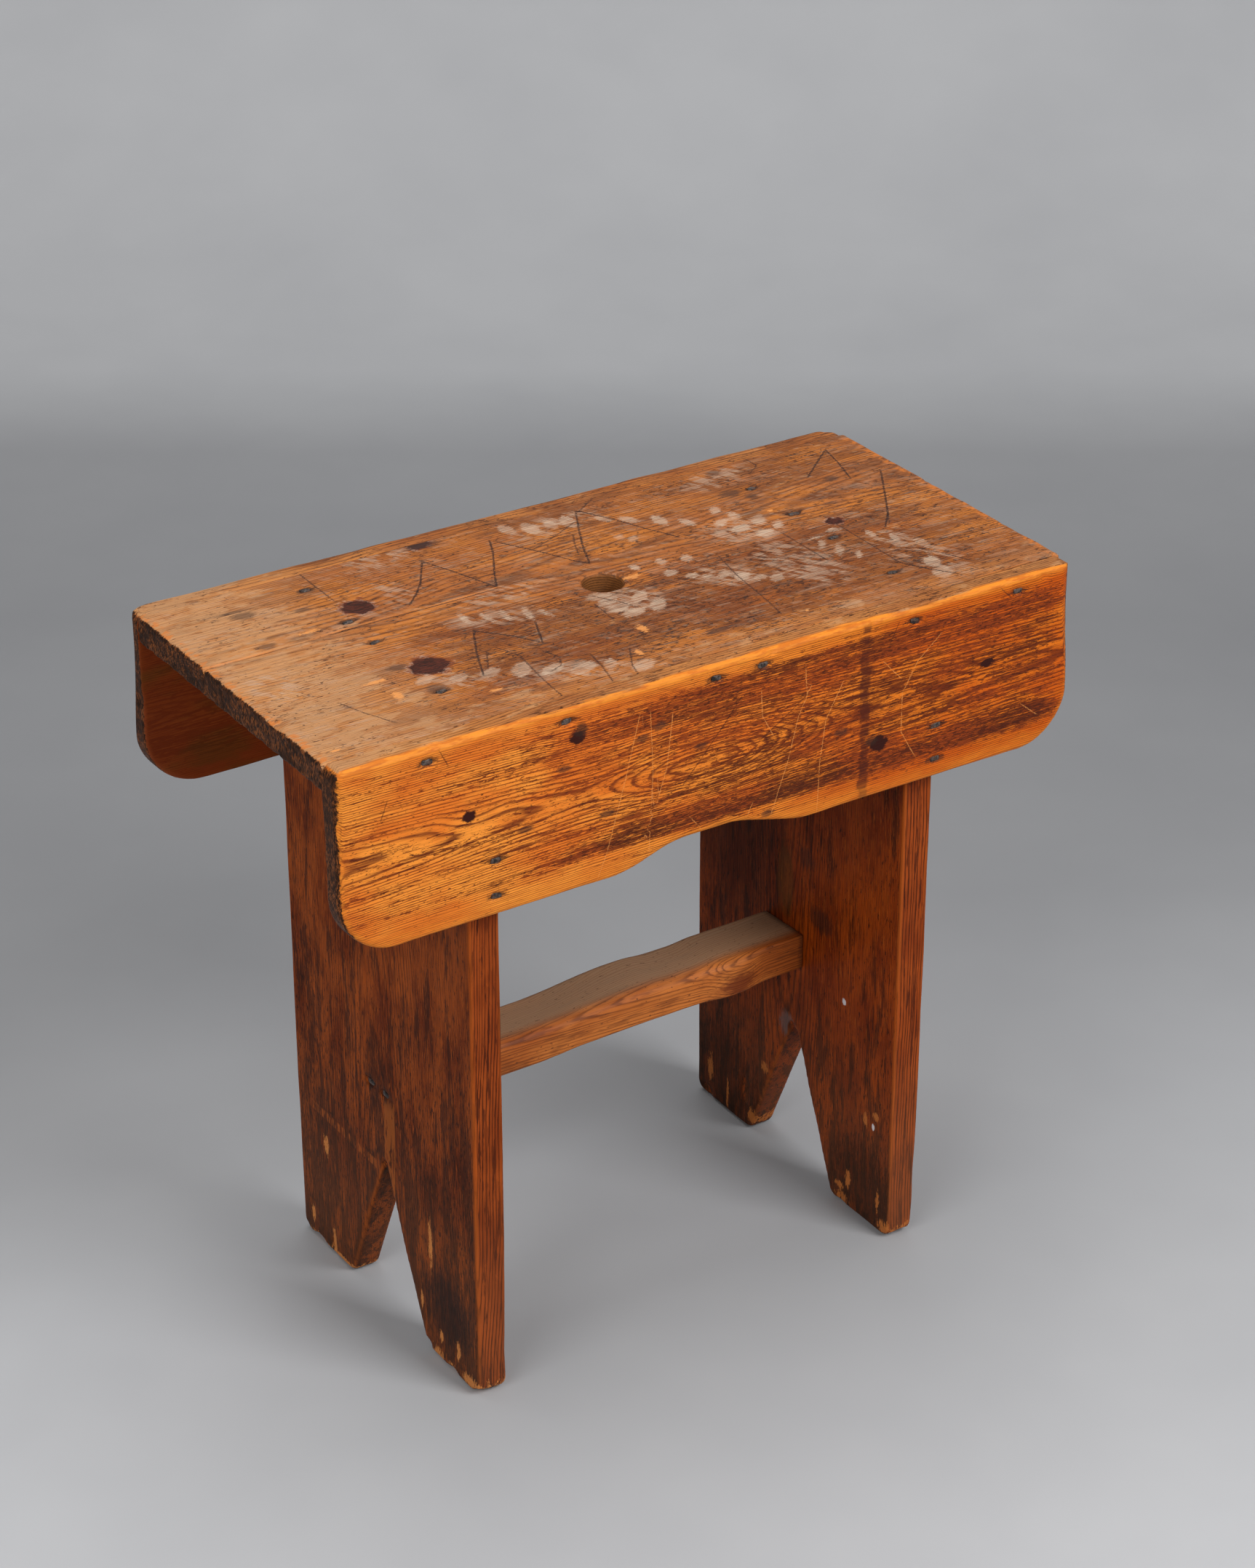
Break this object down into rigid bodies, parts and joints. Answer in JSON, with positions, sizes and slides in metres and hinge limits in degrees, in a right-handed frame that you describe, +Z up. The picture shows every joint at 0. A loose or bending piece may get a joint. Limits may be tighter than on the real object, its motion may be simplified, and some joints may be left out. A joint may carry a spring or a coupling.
{
  "type": "milking stool",
  "caption": "Low nailed board stool: flat seat with a carrying hole between two scooped aprons, bootjack-footed plank legs and a flat stretcher.",
  "frame": {"origin": "middle of the footprint, on the floor", "axes": "+Z up, +X along the stool's length, +Y towards the back apron"},
  "size_m": [0.54, 0.268, 0.49],
  "materials": {
    "seat_wood": "worn, dusty, unvarnished",
    "apron_wood": "worn brown stain, satin",
    "leg_wood": "dark worn stain, satin",
    "stretcher_wood": "worn, dusty on top",
    "nail_iron": "dark, lightly rusted"
  },
  "bodies": {
    "root": {"seat_board": "seat_wood", "front_apron": "apron_wood", "back_apron": "apron_wood", "left_leg": "leg_wood", "right_leg": "leg_wood", "stretcher": "stretcher_wood", "nails_front_apron_to_seat": "nail_iron", "nails_back_apron_to_seat": "nail_iron", "nails_front_apron_to_left_leg": "nail_iron", "nails_front_apron_to_right_leg": "nail_iron", "nails_back_apron_to_left_leg": "nail_iron", "nails_back_apron_to_right_leg": "nail_iron", "nails_seat_to_left_leg": "nail_iron", "nails_seat_to_right_leg": "nail_iron", "nails_left_leg_to_stretcher": "nail_iron", "nails_right_leg_to_stretcher": "nail_iron"}
  },
  "joints": []
}
